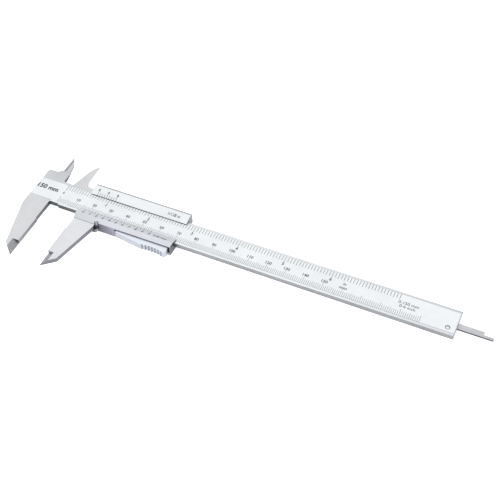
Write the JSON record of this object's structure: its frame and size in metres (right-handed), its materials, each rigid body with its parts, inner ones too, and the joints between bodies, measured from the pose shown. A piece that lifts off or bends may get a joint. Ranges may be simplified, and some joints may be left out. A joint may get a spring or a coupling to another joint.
{
  "type": "vernier caliper",
  "caption": "Steel vernier caliper with outside and inside jaws, a depth rod and a thumb lever that clamps the slider on the graduated beam.",
  "frame": {"origin": "bottom centre of the whole caliper's box, lying on the back of its slider with the scales up", "axes": "+X along the beam from the jaws towards the depth rod's tip, +Y across the beam from the outside jaws towards the inside jaws, +Z out of the graduated front"},
  "size_m": [0.2524, 0.0746, 0.0063],
  "materials": {
    "beam_steel": "satin chrome, ground on the jaws",
    "slider_steel": "satin chrome, ground on the jaws",
    "lever_steel": "satin chrome",
    "rod_steel": "bright ground",
    "plate_steel": "satin",
    "screw_steel": "dark",
    "gib_brass": "plain",
    "spring_steel": "bright wire"
  },
  "bodies": {
    "beam_body": {"beam": "beam_steel", "rod_guide_plate": "plate_steel", "guide_plate_screws": "screw_steel"},
    "slider_body": {"slider": "slider_steel", "gib_strip": "gib_brass", "gib_screws": "screw_steel", "depth_rod": "rod_steel", "depth_rod_rivets": "plate_steel", "lever_pivot_pin": "rod_steel", "lever_spring": "spring_steel"},
    "lever_body": {"thumb_lever": "lever_steel"}
  },
  "joints": [
    {"name": "slider_travel", "type": "slide", "parent": "beam_body", "child": "slider_body", "axis": [1, 0, 0], "range_m": [-0.01758, 0.1324]},
    {"name": "lever_press", "type": "hinge", "parent": "slider_body", "child": "lever_body", "pos_m": [-0.0597, -0.0018, 0.00364], "axis": [0, 0, 1], "range_deg": [0, 5], "stiffness_Nm_per_rad": 0.4, "springref_deg": -5.73, "deforming": ["lever_spring"]}
  ]
}
